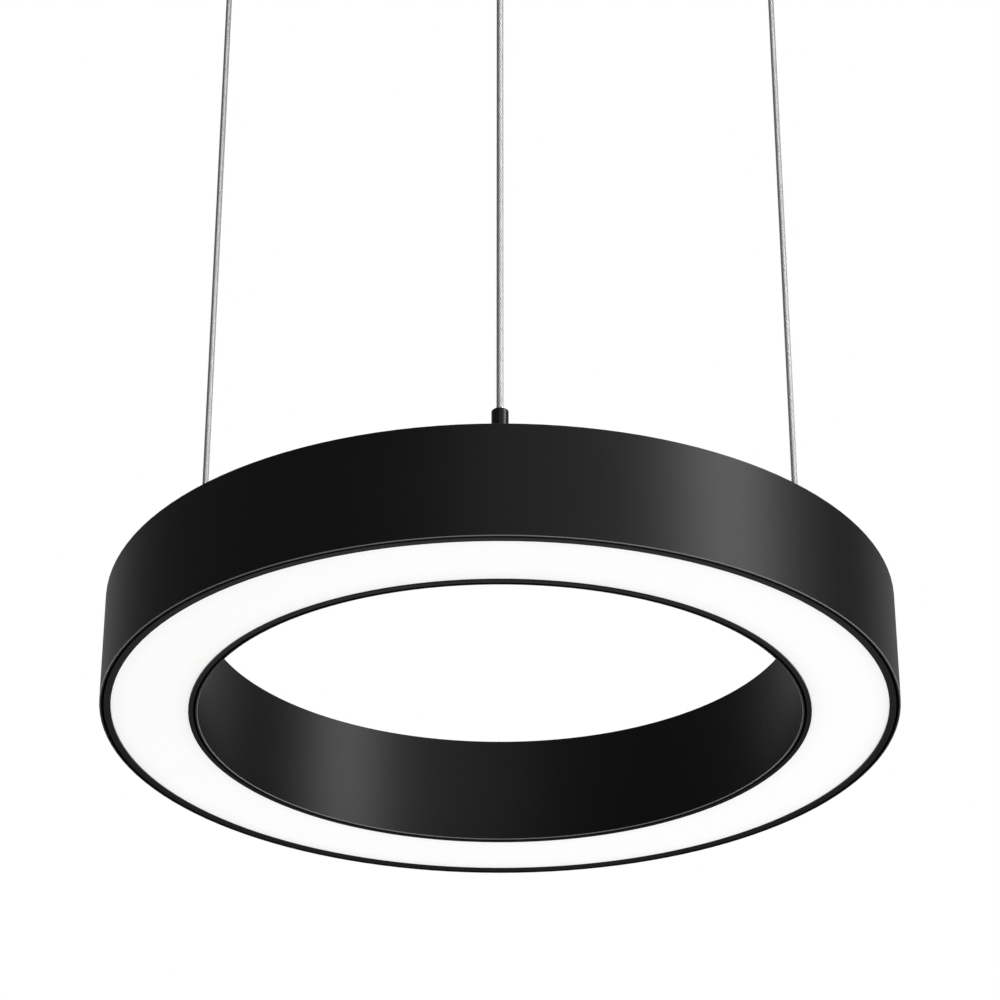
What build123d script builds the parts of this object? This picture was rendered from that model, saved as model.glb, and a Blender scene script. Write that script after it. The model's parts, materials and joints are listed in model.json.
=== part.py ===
from build123d import *
from math import degrees, sqrt
import os

# Ring pendant light: a black ring channel with a lit underside, hung from the ceiling on three steel ropes.
# Millimetres, +Z up. The origin is on the ring's axis, in the plane of the ceiling.

# Ring channel
RING_R = 300.0
CHANNEL_W = 73.0
RING_H = 87.0
BAND_T = 1.5
LIP_W = 9.0
EDGE_BEVEL = 0.45
PLATE_T = 2.0
RING_FIT = 0.3

# Lit underside
SHADOW_GAP = 1.8
BEZEL_SET_IN = 0.1
BEZEL_T = 1.2
BEZEL_OUTER_W = 5.2
BEZEL_INNER_W = 3.6
BEZEL_LEG_T = 1.5
BEZEL_H = 24.0
BEZEL_FLANGE_W = 9.0
DIFFUSER_T = 3.0
DIFFUSER_PLAY = 0.3
CARRIER_T = 2.0

# Light boards
BOARD_COUNT = 6
BOARD_W = 32.0
BOARD_T = 1.6
BOARD_GAP = 37.0
LED_L = 3.5
LED_W = 2.8
LED_T = 0.8
LED_ROW_GAP = 14.0
LED_PER_ROW = 10

# Screws: diameter, head diameter and head height
SMALL_SCREW = (3.0, 5.6, 1.3)
LARGE_SCREW = (4.0, 8.0, 2.4)
SCREW_PLAY = 0.05
LIP_SCREW_IN = 6.0
OUTER_LIP_SCREWS = 12
INNER_LIP_SCREWS = 8
BEZEL_SCREWS = 8
STANDOFF_D = 9.0
STANDOFF_THREAD = 10.0

# Driver, terminal block and cord inlet, above the carrier on the far side
DRIVER_L = 130.0
DRIVER_W = 40.0
DRIVER_H = 30.0
DRIVER_WALL = 1.5
DRIVER_FOOT_L = 11.0
DRIVER_FOOT_W = 22.0
DRIVER_CLEAR = 3.0
TERMINAL_L = 16.0
TERMINAL_W = 28.0
TERMINAL_H = 22.0
TERMINAL_GAP = 19.0
TERMINAL_HOLE_D = 4.0
LEAD_D = 2.4
LEAD_SPACING = 8.0
LEAD_RISE = 12.0
LED_LEAD_REACH = 9.0
LED_LEAD_GAP = 3.8
LED_LEAD_BEND = 4.0
LED_LEAD_HOLE_D = 5.0
GROMMET_HOLE_D = 14.0
GROMMET_BORE_D = 7.0
GROMMET_LIP = 2.5
GROMMET_LIP_T = 1.5

# Suspension: the three ropes, and the height of the ceiling above the ring's lower edge
ROPE_NAMES = ("front", "right", "left")
DROP = 850.0
ROPE_D = 5.0
ROPE_ROOM = 0.3
STOP_WALL = 1.7
STOP_L = 8.0

# Rope grip: a ball cage in a turned body, opened by pressing the sleeve at its top
GRIP_LIP_GAP = 2.0
GRIP_WALL = 1.0
GRIP_BEVEL = 0.6
SLEEVE_ROOM = 0.25
SLEEVE_WALL = 0.7
SLEEVE_PROUD = 1.6
SLEEVE_PLAY = 0.04
SLEEVE_TAIL = 0.5
COLLAR_PROUD = 0.3
COLLAR_T = 1.5
COLLAR_PLAY = 0.1
GUIDE_L = 3.0
CONE_L = 7.0
CONE_PLAY = 0.1
BALL_D = 2.0
BALL_COUNT = 3
BALL_GAP = 0.1
BALL_ROOM = 0.4
SPRING_L = 6.0
SPRING_WIRE_D = 0.6
SPRING_TURNS = 5
PLUG_H = 5.0
PLUG_PLAY = 0.05
STUD_WALL = 1.2
STUD_L = 12.0
NUT_WALL = 2.5
NUT_H = 6.5

# Ceiling fittings: a base for each rope, and a cup that slides up over it
BASE_D = 44.0
BASE_T = 4.0
BASE_HOLE_D = 4.6
BASE_HOLE_SPACING = 30.0
BOSS_WALL = 2.7
BOSS_L = 16.0
BOSS_SEAT_T = 6.0
BOSS_CLEAR = 2.9
HEAD_WALL = 2.0
HEAD_L = 10.0
HEAD_PLAY = 0.3
CUP_ROOM = 1.8
CUP_T = 1.2
CUP_BEVEL = 1.0
CEILING_GAP = 0.3
BUSH_WALL = 1.95
BUSH_LIP = 1.5
BUSH_LIP_T = 1.2
BUSH_PLAY = 0.05

# Heights that follow from the sizes above
ring_low = -DROP
ring_top = ring_low + RING_H
plate_top = ring_top - BAND_T
plate_low = plate_top - PLATE_T
bezel_low = ring_low + BEZEL_SET_IN
bezel_top = bezel_low + BEZEL_H
diffuser_low = bezel_low + BEZEL_T
carrier_low = bezel_top
carrier_top = carrier_low + CARRIER_T
board_low = carrier_low - BOARD_T

# Radii that follow from the sizes above
ring_inner_r = RING_R - CHANNEL_W
outer_face_r = RING_R - BAND_T
inner_face_r = ring_inner_r + BAND_T
bezel_outer_r = outer_face_r - SHADOW_GAP
bezel_inner_r = inner_face_r + SHADOW_GAP
middle_r = (RING_R + ring_inner_r) / 2
rope_bore_d = ROPE_D + 2 * ROPE_ROOM
sleeve_bore_r = ROPE_D / 2 + SLEEVE_ROOM
sleeve_r = sleeve_bore_r + SLEEVE_WALL
ball_circle_r = ROPE_D / 2 + BALL_GAP + BALL_D / 2
chamber_r = ball_circle_r + BALL_D / 2 + BALL_ROOM
grip_r = chamber_r + GRIP_WALL
grip_circle_r = RING_R - LIP_W - GRIP_LIP_GAP - grip_r
stud_d = rope_bore_d + 2 * STUD_WALL


def turned(*outline, arc=360):
    """A solid of revolution about Z from (radius, height) points."""
    return revolve(make_face(Plane.XZ * Polyline(*outline, close=True)), Axis.Z, revolution_arc=arc)


def ring(r_in, r_out, z_low, z_high, arc=360):
    """A flat ring, or a part of one that starts at the X axis."""
    return turned((r_in, z_low), (r_out, z_low), (r_out, z_high), (r_in, z_high), arc=arc)


def rod(diameter, z_low, z_high):
    """A round bar on the Z axis."""
    upright = (Align.CENTER, Align.CENTER, Align.MIN)
    return Pos(0, 0, z_low) * Cylinder(diameter / 2, z_high - z_low, align=upright)


def block(length, width, z_low, z_high):
    """A rectangular block centred on the Z axis."""
    upright = (Align.CENTER, Align.CENTER, Align.MIN)
    return Pos(0, 0, z_low) * Box(length, width, z_high - z_low, align=upright)


def polar(angle, radius):
    """The place at an angle and a radius, turned to face outwards."""
    return Rot(0, 0, angle) * Pos(radius, 0, 0)


def around(count, radius, start=0.0):
    """Places spread evenly on a circle."""
    return [polar(start + i * 360 / count, radius) for i in range(count)]


def drilled(shape, places, diameter, z_low, z_high):
    """The shape with a round hole at each place."""
    for place in places:
        shape -= place * rod(diameter, z_low, z_high)
    return shape


def pan_screw(size, seat, grip_length, up=1):
    """A pan head screw on the Z axis: its head stands on the seat height and its shank goes the other way."""
    diameter, head_d, head_h = size
    head = rod(head_d, *sorted((seat, seat + up * head_h)))
    shank = rod(diameter, *sorted((seat, seat - up * grip_length)))
    return head + shank


def inside_band(x_far, width):
    """The Y of a block's middle on the far side, so that its outer corner at x_far clears the outer band."""
    return sqrt((outer_face_r - DRIVER_CLEAR) ** 2 - x_far**2) - width / 2


def group(solids):
    """Separate solids kept in one node."""
    return Compound(children=list(solids))


def save(name, shape):
    export_step(shape, f"parts/{name}.step")


os.makedirs("parts", exist_ok=True)
small_hole_d = SMALL_SCREW[0] + 2 * SCREW_PLAY
large_hole_d = LARGE_SCREW[0] + 2 * SCREW_PLAY

# Places of the fasteners and of the ropes, which hang evenly round the ring, the first on its -Y side
outer_lip_places = around(OUTER_LIP_SCREWS, RING_R - LIP_SCREW_IN, 180 / OUTER_LIP_SCREWS)
inner_lip_places = around(INNER_LIP_SCREWS, ring_inner_r + LIP_SCREW_IN, 180 / INNER_LIP_SCREWS)
bezel_outer_places = around(BEZEL_SCREWS, bezel_outer_r - BEZEL_FLANGE_W / 2, 180 / BEZEL_SCREWS)
bezel_inner_places = around(BEZEL_SCREWS, bezel_inner_r + BEZEL_FLANGE_W / 2, 180 / BEZEL_SCREWS)
standoff_places = around(BOARD_COUNT, middle_r)
rope_places = dict(zip(ROPE_NAMES, around(len(ROPE_NAMES), grip_circle_r, -90)))

# Driver and terminal block sit side by side, square to the far side of the ring
driver_place = Pos(0, inside_band(DRIVER_L / 2, DRIVER_W), 0)
driver_foot_places = [driver_place * Pos(side * (DRIVER_L + DRIVER_FOOT_L) / 2, 0, 0) for side in (-1, 1)]
terminal_x = DRIVER_L / 2 + TERMINAL_GAP + TERMINAL_L / 2
terminal_place = Pos(terminal_x, inside_band(terminal_x + TERMINAL_L / 2, TERMINAL_W), 0)
led_lead_x = -(DRIVER_L / 2 + LED_LEAD_REACH)
led_lead_y = -(DRIVER_FOOT_W / 2 + LED_LEAD_GAP + LEAD_D / 2)
led_lead_place = driver_place * Pos(led_lead_x, led_lead_y, 0)

# Ring channel: two bands with turned-over lips, and the plate under the lips
outer_band = turned(
    (outer_face_r, ring_low),
    (RING_R - EDGE_BEVEL, ring_low),
    (RING_R, ring_low + EDGE_BEVEL),
    (RING_R, ring_top - EDGE_BEVEL),
    (RING_R - EDGE_BEVEL, ring_top),
    (RING_R - LIP_W, ring_top),
    (RING_R - LIP_W, plate_top),
    (outer_face_r, plate_top),
)
inner_band = turned(
    (inner_face_r, ring_low),
    (ring_inner_r + EDGE_BEVEL, ring_low),
    (ring_inner_r, ring_low + EDGE_BEVEL),
    (ring_inner_r, ring_top - EDGE_BEVEL),
    (ring_inner_r + EDGE_BEVEL, ring_top),
    (ring_inner_r + LIP_W, ring_top),
    (ring_inner_r + LIP_W, plate_top),
    (inner_face_r, plate_top),
)
top_plate = ring(inner_face_r + RING_FIT, outer_face_r - RING_FIT, plate_low, plate_top)
lip_screw = pan_screw(SMALL_SCREW, ring_top, BAND_T + PLATE_T)
outer_band = drilled(outer_band, outer_lip_places, small_hole_d, plate_top, ring_top)
inner_band = drilled(inner_band, inner_lip_places, small_hole_d, plate_top, ring_top)
top_plate = drilled(top_plate, outer_lip_places + inner_lip_places, small_hole_d, plate_low, plate_top)
top_plate = drilled(top_plate, standoff_places, large_hole_d, plate_low, plate_top)
top_plate = drilled(top_plate, rope_places.values(), stud_d + 2 * RING_FIT, plate_low, plate_top)
top_plate = drilled(top_plate, [terminal_place], GROMMET_HOLE_D, plate_low, plate_top)
save("outer_band", outer_band)
save("inner_band", inner_band)
save("top_plate", top_plate)
save("outer_lip_screws", group(place * lip_screw for place in outer_lip_places))
save("inner_lip_screws", group(place * lip_screw for place in inner_lip_places))

# Bezels: channels that open towards the light chamber, with the diffuser on their lower flanges
bezel_outer = turned(
    (bezel_outer_r - BEZEL_OUTER_W, bezel_low),
    (bezel_outer_r, bezel_low),
    (bezel_outer_r, bezel_top),
    (bezel_outer_r - BEZEL_FLANGE_W, bezel_top),
    (bezel_outer_r - BEZEL_FLANGE_W, bezel_top - BEZEL_LEG_T),
    (bezel_outer_r - BEZEL_LEG_T, bezel_top - BEZEL_LEG_T),
    (bezel_outer_r - BEZEL_LEG_T, diffuser_low),
    (bezel_outer_r - BEZEL_OUTER_W, diffuser_low),
)
bezel_inner = turned(
    (bezel_inner_r + BEZEL_INNER_W, bezel_low),
    (bezel_inner_r, bezel_low),
    (bezel_inner_r, bezel_top),
    (bezel_inner_r + BEZEL_FLANGE_W, bezel_top),
    (bezel_inner_r + BEZEL_FLANGE_W, bezel_top - BEZEL_LEG_T),
    (bezel_inner_r + BEZEL_LEG_T, bezel_top - BEZEL_LEG_T),
    (bezel_inner_r + BEZEL_LEG_T, diffuser_low),
    (bezel_inner_r + BEZEL_INNER_W, diffuser_low),
)
diffuser = ring(
    bezel_inner_r + BEZEL_LEG_T + DIFFUSER_PLAY,
    bezel_outer_r - BEZEL_LEG_T - DIFFUSER_PLAY,
    diffuser_low,
    diffuser_low + DIFFUSER_T,
)
bezel_outer = drilled(bezel_outer, bezel_outer_places, small_hole_d, bezel_top - BEZEL_LEG_T, bezel_top)
bezel_inner = drilled(bezel_inner, bezel_inner_places, small_hole_d, bezel_top - BEZEL_LEG_T, bezel_top)
bezel_screw = pan_screw(SMALL_SCREW, carrier_top, CARRIER_T + BEZEL_LEG_T)
save("outer_bezel", bezel_outer)
save("inner_bezel", bezel_inner)
save("diffuser", diffuser)
save("bezel_screws", group(place * bezel_screw for place in bezel_outer_places + bezel_inner_places))

# Carrier plate on the bezels, hung from the top plate on standoffs
carrier = ring(bezel_inner_r, bezel_outer_r, carrier_low, carrier_top)
carrier = drilled(carrier, bezel_outer_places + bezel_inner_places, small_hole_d, carrier_low, carrier_top)
carrier = drilled(carrier, standoff_places, large_hole_d, carrier_low, carrier_top)
carrier = drilled(carrier, driver_foot_places, small_hole_d, carrier_low, carrier_top)
carrier = drilled(carrier, [led_lead_place], LED_LEAD_HOLE_D, carrier_low, carrier_top)
standoff = rod(STANDOFF_D, carrier_top, plate_low)
standoff -= rod(large_hole_d, carrier_top, carrier_top + STANDOFF_THREAD)
standoff -= rod(large_hole_d, plate_low - STANDOFF_THREAD, plate_low)
upper_screw = pan_screw(LARGE_SCREW, plate_top, PLATE_T + STANDOFF_THREAD / 2)
lower_screw = pan_screw(LARGE_SCREW, carrier_low, CARRIER_T + STANDOFF_THREAD / 2, up=-1)
save("led_carrier", carrier)
save("standoffs", group(place * standoff for place in standoff_places))
save("standoff_screws_upper", group(place * upper_screw for place in standoff_places))
save("standoff_screws_lower", group(place * lower_screw for place in standoff_places))

# Light boards under the carrier, between the standoffs, each with two rows of LEDs
board_step = 360 / BOARD_COUNT
board_span = board_step - degrees(BOARD_GAP / middle_r)
led = block(LED_W, LED_L, board_low - LED_T, board_low)
leds = []
for i in range(BOARD_COUNT):
    board_start = i * board_step + (board_step - board_span) / 2
    board = ring(middle_r - BOARD_W / 2, middle_r + BOARD_W / 2, board_low, carrier_low, board_span)
    save(f"led_board_{i + 1}", Rot(0, 0, board_start) * board)
    for j in range(LED_PER_ROW):
        led_angle = board_start + (j + 0.5) * board_span / LED_PER_ROW
        leds += [polar(led_angle, middle_r + side * LED_ROW_GAP / 2) * led for side in (-1, 1)]
save("leds", group(leds))

# Driver: an open case on two feet, with a lid
driver_top = carrier_top + DRIVER_H
driver_case = block(DRIVER_L, DRIVER_W, carrier_top, driver_top - DRIVER_WALL)
driver_case -= block(
    DRIVER_L - 2 * DRIVER_WALL,
    DRIVER_W - 2 * DRIVER_WALL,
    carrier_top + DRIVER_WALL,
    driver_top - DRIVER_WALL,
)
driver_case += block(DRIVER_L + 2 * DRIVER_FOOT_L, DRIVER_FOOT_W, carrier_top, carrier_top + DRIVER_WALL)
driver_case = driver_place * driver_case
driver_case = drilled(driver_case, driver_foot_places, small_hole_d, carrier_top, carrier_top + DRIVER_WALL)
driver_lid = driver_place * block(DRIVER_L, DRIVER_W, driver_top - DRIVER_WALL, driver_top)
driver_screw = pan_screw(SMALL_SCREW, carrier_top + DRIVER_WALL, DRIVER_WALL + CARRIER_T)
save("driver_case", driver_case)
save("driver_lid", driver_lid)
save("driver_screws", group(place * driver_screw for place in driver_foot_places))

# Terminal block beside the driver, with the leads between them and down to the boards
lead_height = carrier_top + LEAD_RISE
terminal_top = carrier_top + TERMINAL_H
terminal = block(TERMINAL_L, TERMINAL_W, carrier_top, terminal_top)
for pole in (-1, 0, 1):
    pole_place = Pos(0, pole * LEAD_SPACING, 0)
    terminal -= pole_place * rod(TERMINAL_HOLE_D, carrier_top + TERMINAL_H / 2 + LEAD_D, terminal_top)
terminal = terminal_place * terminal
lead = Rot(0, -90, 0) * rod(LEAD_D, TERMINAL_L / 2, TERMINAL_L / 2 + TERMINAL_GAP)
supply_leads = [
    terminal_place * Pos(0, pole * LEAD_SPACING, lead_height) * lead
    for pole in (-1, 0, 1)
]
led_lead_path = FilletPolyline(
    (-DRIVER_L / 2, led_lead_y, lead_height),
    (led_lead_x, led_lead_y, lead_height),
    (led_lead_x, led_lead_y, carrier_low),
    radius=LED_LEAD_BEND,
)
led_lead = sweep(Plane(led_lead_path @ 0, z_dir=led_lead_path % 0) * Circle(LEAD_D / 2), led_lead_path)
save("terminal_block", terminal)
save("supply_leads", group(supply_leads))
save("led_lead", driver_place * led_lead)

# Rubber grommet in the top plate, above the terminal block, for the supply cord
grommet = turned(
    (GROMMET_BORE_D / 2, plate_low - GROMMET_LIP_T),
    (GROMMET_HOLE_D / 2 + GROMMET_LIP, plate_low - GROMMET_LIP_T),
    (GROMMET_HOLE_D / 2 + GROMMET_LIP, plate_low),
    (GROMMET_HOLE_D / 2, plate_low),
    (GROMMET_HOLE_D / 2, plate_top),
    (GROMMET_HOLE_D / 2 + GROMMET_LIP, plate_top),
    (GROMMET_HOLE_D / 2 + GROMMET_LIP, plate_top + GROMMET_LIP_T),
    (GROMMET_BORE_D / 2, plate_top + GROMMET_LIP_T),
)
save("inlet_grommet", terminal_place * grommet)

# Rope grip on the plate, from its foot up: plug, spring, sleeve with its balls in the cone, sleeve guide
guide_r = sleeve_r + SLEEVE_PLAY
collar_r = sleeve_r + COLLAR_PROUD
cone_top_r = collar_r + COLLAR_PLAY
cone_slope = (chamber_r - cone_top_r) / CONE_L
cone_r_at_balls = ball_circle_r + (BALL_D / 2 + CONE_PLAY) * sqrt(1 + cone_slope**2)
plug_top = plate_top + PLUG_H
sleeve_low = plug_top + SPRING_L
ball_height = sleeve_low + SLEEVE_TAIL + BALL_D / 2
guide_low = ball_height + (cone_r_at_balls - cone_top_r) / cone_slope
grip_top = guide_low + GUIDE_L
grip_body = turned(
    (guide_r, grip_top),
    (grip_r - GRIP_BEVEL, grip_top),
    (grip_r, grip_top - GRIP_BEVEL),
    (grip_r, plate_top),
    (chamber_r, plate_top),
    (chamber_r, guide_low - CONE_L),
    (cone_top_r, guide_low),
    (guide_r, guide_low),
)
grip_stud = rod(2 * (chamber_r - PLUG_PLAY), plate_top, plug_top) + rod(stud_d, plate_top - STUD_L, plate_top)
grip_stud -= rod(rope_bore_d, plate_top - STUD_L, plug_top)
nut_outline = RegularPolygon(stud_d / 2 + NUT_WALL, 6, major_radius=False) - Circle(stud_d / 2 + SCREW_PLAY)
grip_nut = Pos(0, 0, plate_low - NUT_H) * extrude(nut_outline, NUT_H)
sleeve = turned(
    (sleeve_bore_r, grip_top + SLEEVE_PROUD),
    (sleeve_r, grip_top + SLEEVE_PROUD),
    (sleeve_r, guide_low),
    (collar_r, guide_low),
    (collar_r, guide_low - COLLAR_T),
    (sleeve_r, guide_low - COLLAR_T),
    (sleeve_r, sleeve_low),
    (sleeve_bore_r, sleeve_low),
)
ball_places = [place * Pos(0, 0, ball_height) for place in around(BALL_COUNT, ball_circle_r)]
for place in ball_places:
    sleeve -= place * Sphere(BALL_D / 2 + SLEEVE_PLAY)
balls = [place * Sphere(BALL_D / 2) for place in ball_places]

# The spring stands on the plug and lifts the sleeve
spring_r = (sleeve_r + sleeve_bore_r) / 2
spring_low = plug_top + SPRING_WIRE_D / 2
spring_height = SPRING_L - SPRING_WIRE_D
spring_path = Pos(0, 0, spring_low) * Helix(spring_height / SPRING_TURNS, spring_height, spring_r)
spring_section = Plane(spring_path @ 0, z_dir=spring_path % 0) * Circle(SPRING_WIRE_D / 2)
spring = sweep(spring_section, spring_path, is_frenet=True)

# Steel rope with a stop crimped on below the stud and a head on top, in the ceiling base
stop_top = plate_top - STUD_L
stop_d = ROPE_D + 2 * STOP_WALL
head_d = ROPE_D + 2 * HEAD_WALL
head_low = BOSS_SEAT_T - BOSS_L - BASE_T
rope = rod(ROPE_D, stop_top - STOP_L, head_low + HEAD_L)
rope_stop = rod(stop_d, stop_top - STOP_L, stop_top) - rod(ROPE_D, stop_top - STOP_L, stop_top)
rope_head = rod(head_d, head_low, head_low + HEAD_L) - rod(ROPE_D, head_low, head_low + HEAD_L)

# Ceiling base: a disc with two screw holes and a boss that the rope's head sits in
boss_low = -BASE_T - BOSS_L
seat_d = head_d + 2 * HEAD_PLAY
base = rod(BASE_D, -BASE_T, 0) + rod(seat_d + 2 * BOSS_WALL, boss_low, -BASE_T)
base -= rod(seat_d, head_low, 0)
base -= rod(rope_bore_d, boss_low, head_low)
base_holes = [Pos(0, side * BASE_HOLE_SPACING / 2, 0) for side in (-1, 1)]
base = drilled(base, base_holes, BASE_HOLE_D, -BASE_T, 0)

# Ceiling cup, held on the rope by a rubber bush
cup_top = -CEILING_GAP
cup_low = boss_low - BOSS_CLEAR - BUSH_LIP_T - CUP_T
cup_r = BASE_D / 2 + CUP_ROOM + CUP_T
bush_bore_r = ROPE_D / 2 + BUSH_PLAY
bush_r = bush_bore_r + BUSH_WALL
cup = turned(
    (bush_r, cup_low),
    (cup_r - CUP_BEVEL, cup_low),
    (cup_r, cup_low + CUP_BEVEL),
    (cup_r, cup_top),
    (cup_r - CUP_T, cup_top),
    (cup_r - CUP_T, cup_low + CUP_T),
    (bush_r, cup_low + CUP_T),
)
bush = turned(
    (bush_bore_r, cup_low - BUSH_LIP_T),
    (bush_r + BUSH_LIP, cup_low - BUSH_LIP_T),
    (bush_r + BUSH_LIP, cup_low),
    (bush_r, cup_low),
    (bush_r, cup_low + CUP_T),
    (bush_r + BUSH_LIP, cup_low + CUP_T),
    (bush_r + BUSH_LIP, cup_low + CUP_T + BUSH_LIP_T),
    (bush_bore_r, cup_low + CUP_T + BUSH_LIP_T),
)

# One suspension at each place
for name, place in rope_places.items():
    save(f"grip_body_{name}", place * grip_body)
    save(f"grip_stud_{name}", place * grip_stud)
    save(f"grip_sleeve_{name}", place * sleeve)
    save(f"grip_balls_{name}", group(place * ball for ball in balls))
    save(f"grip_spring_{name}", place * spring)
    save(f"rope_{name}", place * rope)
    save(f"ceiling_base_{name}", place * base)
    save(f"ceiling_cup_{name}", place * cup)
    save(f"cup_bush_{name}", place * bush)
save("grip_nuts", group(place * grip_nut for place in rope_places.values()))
save("rope_stops", group(place * rope_stop for place in rope_places.values()))
save("rope_heads", group(place * rope_head for place in rope_places.values()))
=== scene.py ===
# %% [markdown]
# # A ring pendant light, dressed in Blender
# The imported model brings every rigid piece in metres, at its real place. This script gives each surface its
# finish, lays real wire ropes over the plain bars that stand for them, winds coil springs, cuts crosses
# into the screw heads, and sets up a studio that looks up at the light from below, as one sees it in a
# room.

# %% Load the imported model
import json
from math import cos, pi, radians, sin

import bmesh
import bpy
from mathutils import Matrix, Vector


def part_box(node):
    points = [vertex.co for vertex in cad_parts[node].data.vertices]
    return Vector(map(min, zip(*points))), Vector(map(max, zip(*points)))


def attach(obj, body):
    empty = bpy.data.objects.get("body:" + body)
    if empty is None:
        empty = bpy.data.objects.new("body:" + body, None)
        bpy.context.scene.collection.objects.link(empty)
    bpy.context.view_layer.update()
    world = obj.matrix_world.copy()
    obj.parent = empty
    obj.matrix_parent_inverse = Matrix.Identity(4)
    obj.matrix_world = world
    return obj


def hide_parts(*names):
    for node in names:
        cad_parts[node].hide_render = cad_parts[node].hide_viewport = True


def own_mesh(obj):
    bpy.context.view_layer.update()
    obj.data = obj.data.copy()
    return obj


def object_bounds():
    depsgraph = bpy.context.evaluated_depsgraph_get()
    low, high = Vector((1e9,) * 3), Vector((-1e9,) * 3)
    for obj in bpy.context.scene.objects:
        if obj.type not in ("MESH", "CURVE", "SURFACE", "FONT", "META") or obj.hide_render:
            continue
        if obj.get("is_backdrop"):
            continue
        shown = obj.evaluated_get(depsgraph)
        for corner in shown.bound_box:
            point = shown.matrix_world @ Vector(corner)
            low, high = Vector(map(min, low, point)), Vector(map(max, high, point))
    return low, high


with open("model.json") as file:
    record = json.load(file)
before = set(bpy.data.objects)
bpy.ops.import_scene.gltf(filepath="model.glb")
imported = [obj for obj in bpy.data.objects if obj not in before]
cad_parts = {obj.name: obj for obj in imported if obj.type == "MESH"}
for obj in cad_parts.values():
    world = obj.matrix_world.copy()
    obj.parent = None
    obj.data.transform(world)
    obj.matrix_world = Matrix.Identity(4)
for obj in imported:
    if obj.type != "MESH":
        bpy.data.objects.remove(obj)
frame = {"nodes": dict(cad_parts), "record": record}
cad_low, cad_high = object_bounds()
nodes = frame["nodes"]
MM = 0.001


def rounded(numbers, digits=3):
    """Numbers cut short for printing."""
    return tuple(round(n, digits) for n in numbers)


print(len(nodes), "pieces, from", rounded(cad_low), "to", rounded(cad_high))

# %% [markdown]
# ## Camera
# The light hangs over the viewer, so the camera stands below it and looks up. A long lens from a few metres
# keeps the ring's near and far sides close in size. Its place is worked out from the ring's own box, so it
# follows the model.

# %% Camera
SENSOR_W = 36.0
LENS = 117.65
PITCH = radians(28.59)
AIM_SHARE = 0.635
DISTANCE_SHARE = 8.5


def linked(name, data):
    """A new object, linked into the scene."""
    made = bpy.data.objects.new(name, data)
    bpy.context.scene.collection.objects.link(made)
    return made


ring_low_corner, ring_high_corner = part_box("outer_band")
ring_low = ring_low_corner.z
ring_r = ring_high_corner.x
aim = Vector((0, 0, ring_low + AIM_SHARE * ring_r))
camera = linked("camera", bpy.data.cameras.new("camera"))
camera.data.sensor_width = SENSOR_W
camera.data.lens = LENS
camera.location = aim - DISTANCE_SHARE * ring_r * Vector((0, cos(PITCH), sin(PITCH)))
camera.rotation_euler = (pi / 2 + PITCH, 0, 0)
bpy.context.scene.camera = camera
print("camera at", rounded(camera.location))

# %% [markdown]
# ## Small helpers
# Colours are written as sRGB hex, the way a colour chart gives them, and turned to the linear values that
# shaders use. One function adds a shader node, sets it and links it, so that each material below reads from
# top to bottom.

# %% Colour and node helpers
def colour(code):
    """An sRGB hex colour as linear RGBA."""
    parts = [int(code[i:i + 2], 16) / 255 for i in (1, 3, 5)]
    return [v / 12.92 if v <= 0.04045 else ((v + 0.055) / 1.055) ** 2.4 for v in parts] + [1.0]


def add(tree, kind, inputs=None, **settings):
    """Adds a node; an input that is another node's output is linked, any other is set."""
    made = tree.nodes.new(kind)
    for name, value in settings.items():
        setattr(made, name, value)
    for name, value in (inputs or {}).items():
        if isinstance(value, bpy.types.NodeSocket):
            tree.links.new(value, made.inputs[name])
        else:
            made.inputs[name].default_value = value
    return made


def new_material(name):
    """An empty material, its node tree, and the object's own coordinates in metres."""
    made = bpy.data.materials.new(name)
    made.use_nodes = True
    made.node_tree.nodes.clear()
    tree = made.node_tree
    place = add(tree, "ShaderNodeTexCoord").outputs["Object"]
    return made, tree, place


def finish_material(tree, shader):
    """Joins a shader to the material's output."""
    add(tree, "ShaderNodeOutputMaterial", {"Surface": shader})


def per_metre(size_mm):
    """The texture scale whose pattern repeats about once in this many millimetres."""
    return 1 / (size_mm * MM)


print("white is", colour("#ffffff"))

# %% [markdown]
# ## Wire ropes
# Each rope is a single strand of round steel wires: a thick core under an outer layer of twelve wires that
# run round it in a long helix. A plain tube with bump would lose the scalloped outline, so the wires are
# real tubes. They follow points read from the rope's own straight line, from its crimped stop in the ring
# up to its ceiling head.

# %% Rope sizes and line
ROPE_NAMES = ("front", "right", "left")
OUTER_WIRES = 12
WIRE_SHARE = 0.1
CORE_SHARE = 0.5
LAY_LENGTH = 48 * MM
WIRE_SIDES = 8
CORE_SIDES = 48
LINE_POINTS = 420


def rope_line(low, high):
    """Points along the rope, read from a smooth spline between its ends."""
    curve = bpy.data.curves.new("rope_line", "CURVE")
    curve.dimensions = "3D"
    curve.resolution_u = LINE_POINTS // 2
    spline = curve.splines.new("NURBS")
    spline.points.add(2)
    for point, where in zip(spline.points, (low, (low + high) / 2, high)):
        point.co = (*where, 1)
    spline.order_u = 3
    spline.use_endpoint_u = True
    holder = bpy.data.objects.new("rope_line", curve)
    mesh = bpy.data.meshes.new_from_object(holder)
    points = [v.co.copy() for v in mesh.vertices]
    bpy.data.objects.remove(holder)
    bpy.data.curves.remove(curve)
    bpy.data.meshes.remove(mesh)
    return points


test_line = rope_line(Vector((0, 0, 0)), Vector((0, 0, 1)))
print(len(test_line), "points along a rope, ends at", test_line[0].z, "and", round(test_line[-1].z, 4))

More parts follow.
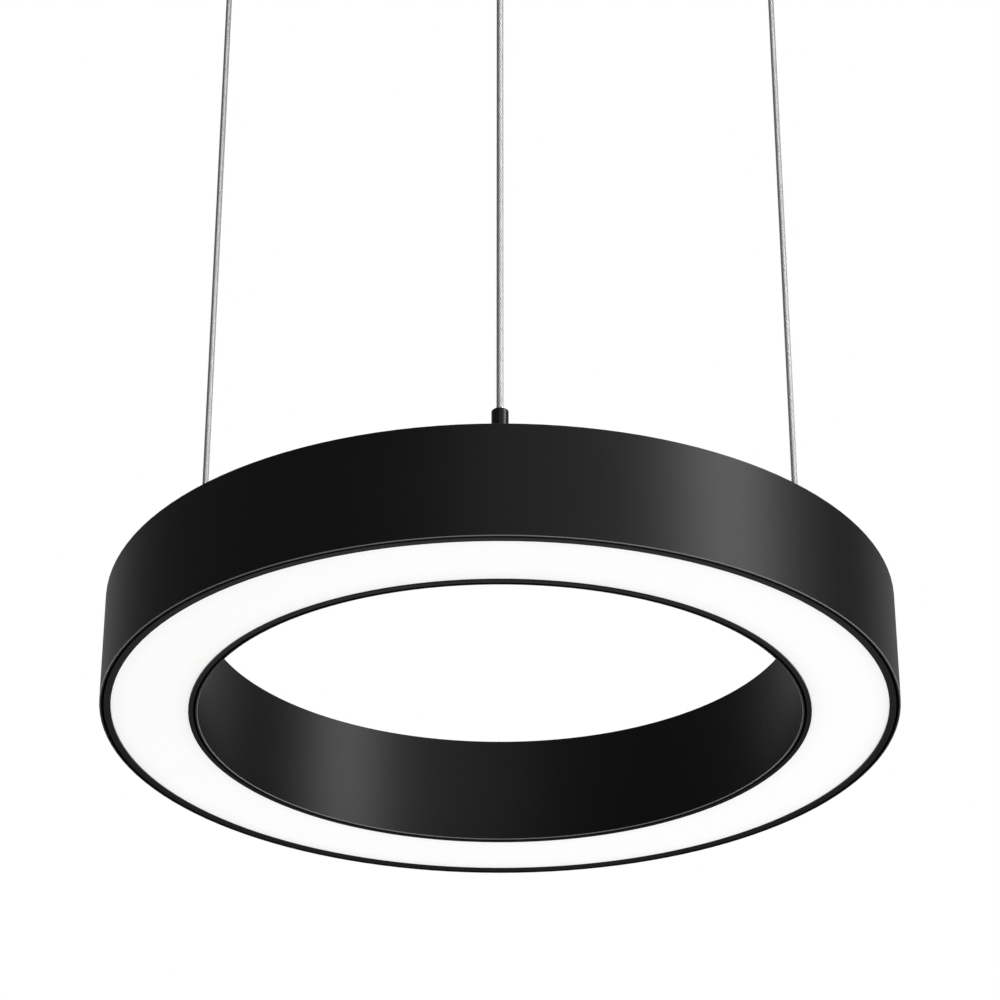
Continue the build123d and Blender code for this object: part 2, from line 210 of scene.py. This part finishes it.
# %% Tubes for wires
def tube(bm, centres, radius, sides, across, up):
    """A closed round tube about a line of points; across and up give each ring's two directions."""
    corners = [2 * pi * i / sides for i in range(sides)]
    rings = []
    for centre, one, two in zip(centres, across, up):
        rings.append([bm.verts.new(centre + radius * (cos(a) * one + sin(a) * two)) for a in corners])
    for start, end in zip(rings, rings[1:]):
        for i in range(sides):
            j = (i + 1) % sides
            bm.faces.new((start[i], start[j], end[j], end[i])).smooth = True
    bm.faces.new(rings[0][::-1])
    bm.faces.new(rings[-1])


def upright_tube(bm, centres, radius, sides):
    """A tube about a line that climbs steeply, so its rings can lie flat."""
    tube(bm, centres, radius, sides, [Vector((1, 0, 0))] * len(centres), [Vector((0, 1, 0))] * len(centres))


def rope_wires(line, rope_d):
    """The core and the outer wires of one rope about its line."""
    wire_r = WIRE_SHARE * rope_d
    layer_r = rope_d / 2 - wire_r
    bm = bmesh.new()
    upright_tube(bm, [line[0], line[-1]], layer_r + CORE_SHARE * wire_r, CORE_SIDES)
    for k in range(OUTER_WIRES):
        turns = [2 * pi * (k / OUTER_WIRES + p.z / LAY_LENGTH) for p in line]
        centres = [p + layer_r * Vector((cos(a), sin(a), 0)) for p, a in zip(line, turns)]
        upright_tube(bm, centres, wire_r, WIRE_SIDES)
    return bm


print("a rope has", OUTER_WIRES, "outer wires with a lay of", LAY_LENGTH / MM, "mm")

# %% Ropes in place
def piece_of(bm, name):
    """An object made of a bmesh, which is then let go."""
    mesh = bpy.data.meshes.new(name)
    bm.to_mesh(mesh)
    bm.free()
    return linked(name, mesh)


def make_rope(name):
    """One rope's wires, standing at the rope's own axis."""
    low_corner, high_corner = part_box(f"rope_{name}")
    middle = (low_corner + high_corner) / 2
    axis = Vector((middle.x, middle.y, 0))
    rope_d = high_corner.x - low_corner.x
    line = rope_line(Vector((0, 0, low_corner.z)), Vector((0, 0, high_corner.z)))
    rope = piece_of(rope_wires(line, rope_d), f"wire_rope_{name}")
    rope.location = axis
    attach(rope, "suspension")
    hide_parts(f"rope_{name}")
    return rope


ropes = [make_rope(name) for name in ROPE_NAMES]
print("ropes", rounded(r.dimensions.z for r in ropes), "m long,", len(ropes[0].data.polygons), "faces each")

# %% [markdown]
# ## Springs in the grips
# Inside each grip a small coil spring lifts the sleeve that one presses to free the rope. The model's
# spring can't shorten; it is replaced by a coil of the same size, on a mesh of its own.

# %% Coil springs
SPRING_WIRE_R = 0.3 * MM
SPRING_TURNS = 5
TURN_STEPS = 24


def coil_wire(foot, coil_r, climb):
    """A round wire wound upwards from a foot."""
    steps = SPRING_TURNS * TURN_STEPS
    angles = [2 * pi * i / TURN_STEPS for i in range(steps + 1)]
    outwards = [Vector((cos(a), sin(a), 0)) for a in angles]
    heights = [Vector((0, 0, SPRING_WIRE_R + climb * i / steps)) for i in range(steps + 1)]
    centres = [foot + coil_r * out + height for out, height in zip(outwards, heights)]
    bm = bmesh.new()
    tube(bm, centres, SPRING_WIRE_R, WIRE_SIDES, outwards, [Vector((0, 0, 1))] * len(centres))
    bmesh.ops.recalc_face_normals(bm, faces=bm.faces)
    return bm


def coil_spring(name):
    """A coil of the same size in place of a grip's spring, on a mesh of its own."""
    low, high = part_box(f"grip_spring_{name}")
    foot = Vector(((low.x + high.x) / 2, (low.y + high.y) / 2, low.z))
    coil_r = (high.x - low.x) / 2 - SPRING_WIRE_R
    climb = high.z - low.z - 2 * SPRING_WIRE_R
    spring = piece_of(coil_wire(foot, coil_r, climb), f"coil_spring_{name}")
    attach(spring, "ring")
    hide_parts(f"grip_spring_{name}")
    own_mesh(spring)
    return spring


springs = [coil_spring(name) for name in ROPE_NAMES]
print("springs", rounded((s.dimensions.z / MM for s in springs), 2), "mm tall")

# %% [markdown]
# ## Screw heads
# The screws that show on the ring's top are pan heads: a low dome with a cross for the driver. The model's
# heads are plain discs, so each is replaced by a turned dome. The cross is cut with a boolean, which keeps
# its edges crisp.

# %% Places of the screws
WELD = 0.001 * MM


def solids_of(node):
    """The lowest and highest corner of each separate solid in a node."""
    bm = bmesh.new()
    bm.from_mesh(nodes[node].data)
    bmesh.ops.remove_doubles(bm, verts=bm.verts, dist=WELD)
    left = set(bm.verts)
    found = []
    while left:
        island, edge = set(), [left.pop()]
        while edge:
            vert = edge.pop()
            island.add(vert)
            for link in vert.link_edges:
                other = link.other_vert(vert)
                if other in left:
                    left.remove(other)
                    edge.append(other)
        points = [v.co for v in island]
        low = Vector(min(p[i] for p in points) for i in range(3))
        high = Vector(max(p[i] for p in points) for i in range(3))
        found.append((low, high))
    bm.free()
    return found


for node in ("outer_lip_screws", "inner_lip_screws"):
    print(node, len(solids_of(node)))

# %% A turned mesh
def turned_mesh(name, outline, sides):
    """A closed mesh turned about Z from (radius, height) points that start and end on the axis."""
    angles = [2 * pi * i / sides for i in range(sides)]
    bm = bmesh.new()
    rings = []
    for r, z in outline:
        around = angles if r > 0 else angles[:1]
        rings.append([bm.verts.new((r * cos(a), r * sin(a), z)) for a in around])
    for one, two in zip(rings, rings[1:]):
        for i in range(sides):
            j = (i + 1) % sides
            corners = [one[i % len(one)], one[j % len(one)], two[j % len(two)], two[i % len(two)]]
            bm.faces.new(list(dict.fromkeys(corners)))
    bmesh.ops.recalc_face_normals(bm, faces=bm.faces)
    mesh = bpy.data.meshes.new(name)
    bm.to_mesh(mesh)
    bm.free()
    return mesh


test_cone = turned_mesh("test_cone", [(0, 0), (1, 0), (0, 1)], 8)
print("a turned cone has", len(test_cone.polygons), "faces")
bpy.data.meshes.remove(test_cone)

# %% One pan head screw
CROSS_WIDTH = 0.18
CROSS_LENGTH = 0.62
CROSS_DEPTH = 0.55
SHOULDER_SHARE = 0.3
DOME_STEPS = 6
SCREW_SIDES = 32


def cross_cutter(head_r, head_h):
    """Two crossed bars that reach down into the head from its top."""
    cross = bmesh.new()
    depth = CROSS_DEPTH * head_h
    for length, width in ((CROSS_LENGTH, CROSS_WIDTH), (CROSS_WIDTH, CROSS_LENGTH)):
        size = Matrix.Diagonal((2 * head_r * length, 2 * head_r * width, 2 * depth, 1))
        bmesh.ops.create_cube(cross, size=1, matrix=Matrix.Translation((0, 0, head_h)) @ size)
    return piece_of(cross, "cross")


def pan_head(head_r, head_h, shank_r, shank_l):
    """A pan head screw with its seat at height 0, its dome above and its shank below."""
    shoulder = SHOULDER_SHARE * head_h
    dome = []
    for i in range(DOME_STEPS + 1):
        a = pi / 2 * i / DOME_STEPS
        dome.append((head_r * cos(a) if i < DOME_STEPS else 0, shoulder + (head_h - shoulder) * sin(a)))
    outline = [(0, -shank_l), (shank_r, -shank_l), (shank_r, 0), (head_r, 0)] + dome
    screw = linked("screw", turned_mesh("screw", outline, SCREW_SIDES))
    cutter = cross_cutter(head_r, head_h)
    cut = screw.modifiers.new("cross", "BOOLEAN")
    cut.object = cutter
    cut.use_self = True
    made = bpy.data.meshes.new_from_object(screw.evaluated_get(bpy.context.evaluated_depsgraph_get()))
    for thing in (screw, cutter):
        bpy.data.objects.remove(thing)
    return made


first_low, first_high = solids_of("outer_lip_screws")[0]
print("pan head for heads of", round((first_high.x - first_low.x) / MM, 1), "mm")

# %% Screws on the ring's top
SHANK_SHARE = 0.5
HAND_TURN = radians(37)
SEAT = {
    "outer_lip_screws": "outer_band",
    "inner_lip_screws": "inner_band",
    "standoff_screws_upper": "top_plate",
}


def dress_screws(node):
    """All the screws of a node as one piece, each turned a little differently, as a hand leaves them."""
    places = sorted(solids_of(node), key=lambda s: (round(s[0].x, 4), round(s[0].y, 4)))
    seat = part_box(SEAT[node])[1].z
    foot, top = places[0]
    head_r = (top.x - foot.x) / 2
    one = pan_head(head_r, top.z - seat, head_r * SHANK_SHARE, seat - foot.z)
    bm = bmesh.new()
    for i, (low, high) in enumerate(places):
        middle = (low + high) / 2
        start = len(bm.verts)
        bm.from_mesh(one)
        bm.verts.ensure_lookup_table()
        turn = Matrix.Translation((middle.x, middle.y, seat)) @ Matrix.Rotation(HAND_TURN * i, 4, "Z")
        bmesh.ops.transform(bm, matrix=turn, verts=bm.verts[start:])
    piece = piece_of(bm, f"cross_{node}")
    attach(piece, "ring")
    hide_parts(node)
    return piece


screws = [dress_screws(node) for node in SEAT]
print("screw pieces", [(s.name, len(s.data.polygons)) for s in screws])

# %% [markdown]
# ## Powder-coated aluminium
# The bands, the top plate, the bezels and the ceiling cups are aluminium with a baked matt black powder.
# Powder melts into a skin with a faint orange peel, so light spreads wide on it and its edges glow only
# where one looks along it. The peel is about 0.4 mm from crest to crest. That is finer than the picture can
# show, so it is drawn at 1.2 mm. A painted highlight lies on the bevels along the lower edges: a paler
# colour on every face that looks down at 45 degrees, strongest on the thin bands and faint on the cups and
# bezels. The bezels are drawn strips and take a smoother coat.

# %% Powder-coated aluminium
PEEL_MM = 1.2
PEEL_RELIEF = 0.05 * MM
CLOUD_MM = 60.0
BEVEL_FACING = -sin(pi / 4)
BEVEL_SPAN = 0.1


def powder_coated_aluminium(name, smooth, dull, gloss, edge):
    """A black powder coat between two roughnesses, with edge as the painted highlight colour on its downward
    bevels.
    """
    made, tree, place = new_material(name)
    cloud = add(tree, "ShaderNodeTexNoise", {"Vector": place, "Scale": per_metre(CLOUD_MM), "Detail": 3.0})
    skin = add(
        tree, "ShaderNodeMix",
        {"Factor": cloud.outputs["Fac"], "A": colour("#0b0b0c"), "B": colour("#111112")},
        data_type="RGBA",
    )
    # Painted highlight: faces that look down at 45 degrees, which are the lower bevels, take the paler edge
    # colour.
    facing = add(tree, "ShaderNodeNewGeometry").outputs["True Normal"]
    down = add(tree, "ShaderNodeSeparateXYZ", {"Vector": facing}).outputs["Z"]
    painted_highlight_mask = add(tree, "ShaderNodeMath", {0: down, 1: BEVEL_FACING, 2: BEVEL_SPAN}, operation="COMPARE")
    coat = add(
        tree, "ShaderNodeMix",
        {"Factor": painted_highlight_mask.outputs[0], "A": skin.outputs["Result"], "B": colour(edge)},
        data_type="RGBA",
    )
    peel = add(tree, "ShaderNodeTexNoise", {"Vector": place, "Scale": per_metre(PEEL_MM), "Detail": 2.0})
    rough = add(
        tree, "ShaderNodeMapRange",
        {"Value": peel.outputs["Fac"], "From Min": 0.3, "From Max": 0.7, "To Min": smooth, "To Max": dull},
    )
    bump = add(
        tree, "ShaderNodeBump", {"Height": peel.outputs["Fac"], "Strength": 0.04, "Distance": PEEL_RELIEF}
    )
    shader = add(
        tree, "ShaderNodeBsdfPrincipled",
        {
            "Base Color": coat.outputs["Result"],
            "Roughness": rough.outputs["Result"],
            "Specular IOR Level": gloss,
            "Normal": bump.outputs["Normal"],
        },
    )
    finish_material(tree, shader.outputs["BSDF"])
    return made


# The last colour of each coat is its painted highlight on downward bevels.
powder_black = powder_coated_aluminium("powder_coated_aluminium_matt_black", 0.36, 0.44, 0.16, "#787878")
powder_cup = powder_coated_aluminium("powder_coated_aluminium_cup_black", 0.36, 0.44, 0.16, "#2c2c2c")
powder_smooth = powder_coated_aluminium("powder_coated_aluminium_smooth_black", 0.15, 0.2, 0.12, "#2c2c2c")
print(powder_black.name, powder_cup.name, powder_smooth.name)

# %% [markdown]
# ## Anodised aluminium
# The rope grips are turned from bar and anodised black. Anodising keeps the fine rings that the tool left, so
# the stripe of light down a grip is narrow and a little brushed. Real rings are about 0.2 mm apart. That is too
# fine to show, so they are drawn at 0.8 mm, as a wave along the grip's own height. A wave texture of scale 1
# goes through 20 radians in a metre, and its scale is worked out from that.

# %% Anodised aluminium
TOOL_RING_MM = 0.8
WAVE_RADIANS = 20


def anodised_aluminium():
    """Black anodised bar with the fine rings of the turning tool."""
    made, tree, place = new_material("anodised_aluminium_turned_black")
    rings = add(
        tree, "ShaderNodeTexWave",
        {"Vector": place, "Scale": 2 * pi * per_metre(TOOL_RING_MM) / WAVE_RADIANS, "Distortion": 0.5},
        bands_direction="Z",
    )
    dye = add(
        tree, "ShaderNodeMix",
        {"Factor": rings.outputs["Fac"], "A": colour("#0a0a0b"), "B": colour("#101011")},
        data_type="RGBA",
    )
    rough = add(tree, "ShaderNodeMapRange", {"Value": rings.outputs["Fac"], "To Min": 0.27, "To Max": 0.3})
    shader = add(
        tree, "ShaderNodeBsdfPrincipled",
        {
            "Base Color": dye.outputs["Result"],
            "Roughness": rough.outputs["Result"],
            "Specular IOR Level": 0.22,
        },
    )
    finish_material(tree, shader.outputs["BSDF"])
    return made


anodised_black = anodised_aluminium()
print(anodised_black.name)

# %% [markdown]
# ## Opal acrylic
# The diffuser is cast acrylic with white scattered through it. It glows nearly evenly, a touch dimmer at
# its two edges, where the channel's walls hold light back. The glow is an emission whose colour follows the
# distance from the ring's axis, over a white that still takes the room's light.

# %% Opal acrylic
EDGE_FADE = 14 * MM
OUTER_COVER = 3.4 * MM
INNER_COVER = 5.4 * MM


def distance_from_axis(tree, place):
    """How far a point lies from the object's upright axis."""
    flat = add(tree, "ShaderNodeVectorMath", {0: place, 1: (1.0, 1.0, 0.0)}, operation="MULTIPLY")
    return add(tree, "ShaderNodeVectorMath", {0: flat.outputs[0]}, operation="LENGTH").outputs["Value"]


def opal_acrylic():
    """White acrylic, lit from behind, dimmer towards the edges that its bezels leave free."""
    made, tree, place = new_material("opal_acrylic_cast_white")
    outer_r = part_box("diffuser")[1].x - OUTER_COVER
    inner_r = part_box("inner_bezel")[1].x - INNER_COVER
    reach = distance_from_axis(tree, place)
    from_inner = add(
        tree, "ShaderNodeMapRange",
        {"Value": reach, "From Min": inner_r, "From Max": inner_r + EDGE_FADE},
        interpolation_type="SMOOTHSTEP",
    )
    from_outer = add(
        tree, "ShaderNodeMapRange",
        {"Value": reach, "From Min": outer_r, "From Max": outer_r - EDGE_FADE},
        interpolation_type="SMOOTHSTEP",
    )
    inside = add(
        tree, "ShaderNodeMath", {0: from_inner.outputs["Result"], 1: from_outer.outputs["Result"]},
        operation="MINIMUM",
    )
    glow = add(
        tree, "ShaderNodeMix",
        {"Factor": inside.outputs[0], "A": colour("#f5f5f4"), "B": colour("#fdfdfd")},
        data_type="RGBA",
    )
    shader = add(
        tree, "ShaderNodeBsdfPrincipled",
        {
            "Base Color": colour("#a0a0a0"),
            "Roughness": 0.45,
            "Emission Color": glow.outputs["Result"],
            "Emission Strength": 0.67,
        },
    )
    finish_material(tree, shader.outputs["BSDF"])
    return made


opal = opal_acrylic()
print(opal.name)

# %% [markdown]
# ## Steel
# Three steels show: the ropes' drawn stainless wire, with painted shade in the grooves between the
# wires; the zinc-plated screws and bases, with a cloudy bright plate; and the polished sleeves and balls
# of the grips. The aluminium inside the ring is left as the mill rolled it, and is made the same way as
# the plated steel.

# %% Drawn stainless wire
GROOVE_R = 2.25 * MM
CREST_R = 2.4 * MM
DRAW_MM = 3.0


def drawn_stainless_wire():
    """Bright drawn wire, with painted shade where the wires of a rope meet."""
    made, tree, place = new_material("stainless_steel_drawn_wire")
    reach = distance_from_axis(tree, place)
    crest = add(tree, "ShaderNodeMapRange", {"Value": reach, "From Min": GROOVE_R, "From Max": CREST_R})
    streak = add(tree, "ShaderNodeTexNoise", {"Vector": place, "Scale": per_metre(DRAW_MM), "Detail": 2.0})
    steel = add(
        tree, "ShaderNodeMix",
        {"Factor": streak.outputs["Fac"], "A": colour("#a2a2a0"), "B": colour("#c6c6c4")},
        data_type="RGBA",
    )
    # Painted shade: the wire darkens towards the grooves between the wires, by distance from the rope's axis.
    painted_groove_shade = add(
        tree, "ShaderNodeMix",
        {"Factor": crest.outputs["Result"], "A": colour("#5c5c5a"), "B": steel.outputs["Result"]},
        data_type="RGBA",
    )
    rough = add(tree, "ShaderNodeMapRange", {"Value": streak.outputs["Fac"], "To Min": 0.24, "To Max": 0.34})
    shader = add(
        tree, "ShaderNodeBsdfPrincipled",
        {"Base Color": painted_groove_shade.outputs["Result"], "Metallic": 1.0, "Roughness": rough.outputs["Result"]},
    )
    finish_material(tree, shader.outputs["BSDF"])
    return made


wire_steel = drawn_stainless_wire()
for rope in ropes:
    rope.data.materials.append(wire_steel)
print(wire_steel.name)

# %% Zinc-plated steel, polished steel and mill aluminium
def cloudy_metal(name, dark, light, cloud_mm, smooth, dull):
    """A metal whose surface is cloudy at a given size, in colour and in gloss."""
    made, tree, place = new_material(name)
    cloud = add(tree, "ShaderNodeTexNoise", {"Vector": place, "Scale": per_metre(cloud_mm), "Detail": 4.0})
    plate = add(
        tree, "ShaderNodeMix",
        {"Factor": cloud.outputs["Fac"], "A": colour(dark), "B": colour(light)},
        data_type="RGBA",
    )
    rough = add(tree, "ShaderNodeMapRange", {"Value": cloud.outputs["Fac"], "To Min": smooth, "To Max": dull})
    shader = add(
        tree, "ShaderNodeBsdfPrincipled",
        {"Base Color": plate.outputs["Result"], "Metallic": 1.0, "Roughness": rough.outputs["Result"]},
    )
    finish_material(tree, shader.outputs["BSDF"])
    return made


zinc = cloudy_metal("steel_zinc_plated", "#8f9296", "#b9bcc0", 2.0, 0.28, 0.45)
polished = cloudy_metal("steel_turned_polished", "#a9a9aa", "#c4c4c5", 1.0, 0.15, 0.25)
mill = cloudy_metal("aluminium_mill_finish", "#a8aaac", "#c6c8ca", 8.0, 0.38, 0.52)
print(zinc.name, polished.name, mill.name)

# %% [markdown]
# ## Plastics and rubber
# The light boards carry a white lacquer, the LEDs a yellow phosphor under clear silicone. The terminal
# block is moulded polyamide and the leads are PVC. The grommet and the cups' bushes are moulded rubber.
# Each has a fine grain that its mould or coat leaves, so they share one recipe.

# %% Moulded and coated pieces
GRAIN_RELIEF = 0.05 * MM


def moulded(name, dark, light, grain_mm, smooth, dull, gloss):
    """A plastic or rubber with the fine grain that its mould or coat gives it."""
    made, tree, place = new_material(name)
    grain = add(tree, "ShaderNodeTexNoise", {"Vector": place, "Scale": per_metre(grain_mm), "Detail": 3.0})
    skin = add(
        tree, "ShaderNodeMix",
        {"Factor": grain.outputs["Fac"], "A": colour(dark), "B": colour(light)},
        data_type="RGBA",
    )
    rough = add(tree, "ShaderNodeMapRange", {"Value": grain.outputs["Fac"], "To Min": smooth, "To Max": dull})
    bump = add(
        tree, "ShaderNodeBump", {"Height": grain.outputs["Fac"], "Strength": 0.1, "Distance": GRAIN_RELIEF}
    )
    shader = add(
        tree, "ShaderNodeBsdfPrincipled",
        {
            "Base Color": skin.outputs["Result"],
            "Roughness": rough.outputs["Result"],
            "Specular IOR Level": gloss,
            "Normal": bump.outputs["Normal"],
        },
    )
    finish_material(tree, shader.outputs["BSDF"])
    return made


lacquer = moulded("solder_lacquer_white", "#e2e2dc", "#f0f0ea", 6.0, 0.35, 0.5, 0.5)
phosphor = moulded("silicone_over_phosphor", "#d9b84a", "#ecd27a", 0.8, 0.2, 0.35, 0.5)
polyamide = moulded("polyamide_moulded_white", "#d8d8d2", "#e6e6e0", 0.6, 0.4, 0.55, 0.5)
pvc = moulded("pvc_insulation_extruded", "#d6d6d2", "#e4e4e0", 1.5, 0.3, 0.42, 0.5)
rubber = moulded("rubber_moulded_black", "#141414", "#1d1d1d", 0.7, 0.6, 0.75, 0.3)
print(lacquer.name, phosphor.name, polyamide.name, pvc.name, rubber.name)

# %% [markdown]
# ## Dressing the model's own pieces
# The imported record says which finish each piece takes. Every piece gets that finish's material in its
# slots. Two kinds of piece then take a coat of their own: the bezels and the ceiling cups.

# %% Finishes by slot
finish_of_slot = {
    "black_powder_coat": powder_black,
    "black_anodised": anodised_black,
    "opal_acrylic": opal,
    "mill_aluminium": mill,
    "board_lacquer": lacquer,
    "led_phosphor": phosphor,
    "zinc_steel": zinc,
    "rope_steel": wire_steel,
    "bright_steel": polished,
    "terminal_plastic": polyamide,
    "lead_insulation": pvc,
    "black_rubber": rubber,
}
for row in frame["record"]["subparts"]:
    for slot in nodes[row["node"]].material_slots:
        slot.material = finish_of_slot[row["material_slot"]]
for node in ("outer_bezel", "inner_bezel"):
    nodes[node].material_slots[0].material = powder_smooth
for name in ROPE_NAMES:
    nodes[f"ceiling_cup_{name}"].material_slots[0].material = powder_cup
for screw in screws:
    screw.data.materials.append(zinc)
for spring in springs:
    spring.data.materials.append(polished)

# %% [markdown]
# ## Studio
# The room is white for the camera. Reflections see its near side white and its far side dimmer, because the
# lamps stand near the camera. What lights matt surfaces is dimmer too, so that colours come out as they are
# written. A tall softbox on the right draws the light band on the black wall, and a grey card on the left
# gives the ropes and the wall their dark side. A dark card on the right, further back, ends the light band.
# Two low softboxes draw such bands for a viewer who stands higher than the ring.

# %% White room
ROOM_LIGHT = 0.5
FAR_SIDE = 0.42
FADE_NEAR = -0.1
FADE_FAR = 0.4


def seen_in_mirrors(tree, ray):
    """1 for a ray that a shiny or a clear surface sends on, otherwise 0."""
    either = add(
        tree, "ShaderNodeMath", {0: ray.outputs["Is Glossy Ray"], 1: ray.outputs["Is Transmission Ray"]},
        operation="MAXIMUM",
    )
    return either.outputs[0]


def white_room():
    """A world that is white for the camera, shaded in reflections and dim as a light."""
    room = bpy.data.worlds.new("white_room")
    room.use_nodes = True
    tree = room.node_tree
    tree.nodes.clear()
    ray = add(tree, "ShaderNodeLightPath")
    towards = add(tree, "ShaderNodeTexCoord").outputs["Generated"]
    away = add(tree, "ShaderNodeSeparateXYZ", {"Vector": towards}).outputs["Y"]
    fade = add(
        tree, "ShaderNodeMapRange",
        {"Value": away, "From Min": FADE_NEAR, "From Max": FADE_FAR, "To Min": 1.0, "To Max": FAR_SIDE},
    )
    paint = colour("#ffffff")
    dim = add(tree, "ShaderNodeBackground", {"Color": paint, "Strength": ROOM_LIGHT})
    shaded = add(tree, "ShaderNodeBackground", {"Color": paint, "Strength": fade.outputs["Result"]})
    white = add(tree, "ShaderNodeBackground", {"Color": paint, "Strength": 1.0})
    lit = add(
        tree, "ShaderNodeMixShader",
        {"Fac": seen_in_mirrors(tree, ray), 1: dim.outputs["Background"], 2: shaded.outputs["Background"]},
    )
    shown = add(
        tree, "ShaderNodeMixShader",
        {"Fac": ray.outputs["Is Camera Ray"], 1: lit.outputs["Shader"], 2: white.outputs["Background"]},
    )
    add(tree, "ShaderNodeOutputWorld", {"Surface": shown.outputs["Shader"]})
    return room


bpy.context.scene.world = white_room()
bpy.context.scene.view_settings.view_transform = "Standard"
print("room light", ROOM_LIGHT)

# %% Floor, far below the light
FLOOR_BELOW = 3.9
FLOOR_HALF = 20.0
FADE_START = 2.0
FADE_END = 7.0
LIT_POOL = 6.5
POOL_EDGE = 1.5
POOL_DARK = 0.1


def flat_piece(name, corners):
    """One flat face of the studio."""
    mesh = bpy.data.meshes.new(name)
    mesh.from_pydata(corners, [], [tuple(range(len(corners)))])
    made = linked(name, mesh)
    made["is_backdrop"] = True
    return made


def painted_floor():
    """White paint that keeps shadows near the middle and fades into the white room further out."""
    made, tree, place = new_material("painted_floor_white")
    reach = distance_from_axis(tree, place)
    fade = add(tree, "ShaderNodeMapRange", {"Value": reach, "From Min": FADE_START, "From Max": FADE_END})
    ray = add(tree, "ShaderNodeLightPath")
    pool = add(
        tree, "ShaderNodeMapRange",
        {
            "Value": reach,
            "From Min": LIT_POOL,
            "From Max": LIT_POOL + POOL_EDGE,
            "To Min": 1.0,
            "To Max": POOL_DARK,
        },
    )
    level = add(
        tree, "ShaderNodeMix",
        {"Factor": ray.outputs["Is Camera Ray"], "A": pool.outputs["Result"], "B": 1.0},
        data_type="FLOAT",
    )
    camera_far = add(
        tree, "ShaderNodeMath", {0: fade.outputs["Result"], 1: ray.outputs["Is Camera Ray"]},
        operation="MULTIPLY",
    )
    bright = add(
        tree, "ShaderNodeMath", {0: seen_in_mirrors(tree, ray), 1: camera_far.outputs[0]}, operation="MAXIMUM"
    )
    paint = add(tree, "ShaderNodeBsdfDiffuse", {"Color": colour("#f4f4f2")})
    glow = add(tree, "ShaderNodeEmission", {"Color": colour("#ffffff"), "Strength": level.outputs["Result"]})
    mixed = add(
        tree, "ShaderNodeMixShader",
        {"Fac": bright.outputs[0], 1: paint.outputs["BSDF"], 2: glow.outputs["Emission"]},
    )
    finish_material(tree, mixed.outputs["Shader"])
    return made


floor_z = ring_low - FLOOR_BELOW
floor_corners = ((-1, -1), (1, -1), (1, 1), (-1, 1))
floor = flat_piece("floor", [(x * FLOOR_HALF, y * FLOOR_HALF, floor_z) for x, y in floor_corners])
floor.data.materials.append(painted_floor())
print("floor at", round(floor_z, 3))

# %% Softboxes
LAMP_DISTANCE = 4.6
ring_middle = Vector((0, 0, ring_low))


def softbox(name, direction, width, height, watts):
    """A rectangular lamp that faces the ring."""
    lamp = bpy.data.lights.new(name, "AREA")
    lamp.shape = "RECTANGLE"
    lamp.size = width
    lamp.size_y = height
    lamp.energy = watts
    made = linked(name, lamp)
    made.location = ring_middle + LAMP_DISTANCE * Vector(direction).normalized()
    made.rotation_euler = Vector(direction).to_track_quat("Z", "Y").to_euler()
    made.visible_camera = False
    return made


lamps = [
    softbox("softbox_right", (0.808, -0.388, 0.444), 1.65, 2.8, 138),
    softbox("softbox_low_right", (0.866, -0.5, -0.36), 2.4, 2.4, 90),
    softbox("softbox_low_left", (-0.8, 0.6, -0.36), 2.4, 2.4, 90),
]
for lamp in lamps:
    print(lamp.name, "at", rounded(lamp.location, 2))

# %% Cards
FELT_MM = 4.0


def card(name, first, last, distance, low, high, dark, light):
    """An upright felt card that the camera doesn't see, between two directions in degrees from its side."""
    ends = [distance * Vector((sin(radians(a)), -cos(radians(a)), 0)) for a in (first, last)]
    made = flat_piece(name, [(e.x, e.y, z) for e, z in zip(ends + ends[::-1], (low, low, high, high))])
    made.visible_camera = False
    felt, tree, place = new_material(f"felt_{name}")
    nap = add(tree, "ShaderNodeTexNoise", {"Vector": place, "Scale": per_metre(FELT_MM)})
    dye = add(
        tree, "ShaderNodeMix",
        {"Factor": nap.outputs["Fac"], "A": colour(dark), "B": colour(light)},
        data_type="RGBA",
    )
    cloth = add(tree, "ShaderNodeBsdfDiffuse", {"Color": dye.outputs["Result"]})
    finish_material(tree, cloth.outputs["BSDF"])
    made.data.materials.append(felt)
    return made


grey_card = card("grey_card_left", -10, -125, 1.9, -1.6, 1.8, "#7a7a7a", "#868686")
dark_card = card("dark_card_right", 91, 124, 2.4, -0.6, 1.3, "#2a2a2a", "#343434")
print("cards", grey_card.name, dark_card.name)

# %% [markdown]
# ## Sizes and the end
# The dressing must not change the object's size, so the box of the dressed light is printed, as the model's
# own box was at the start.

# %% Size after dressing
new_low, new_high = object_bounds()
print("visual box", rounded(new_low), "to", rounded(new_high))
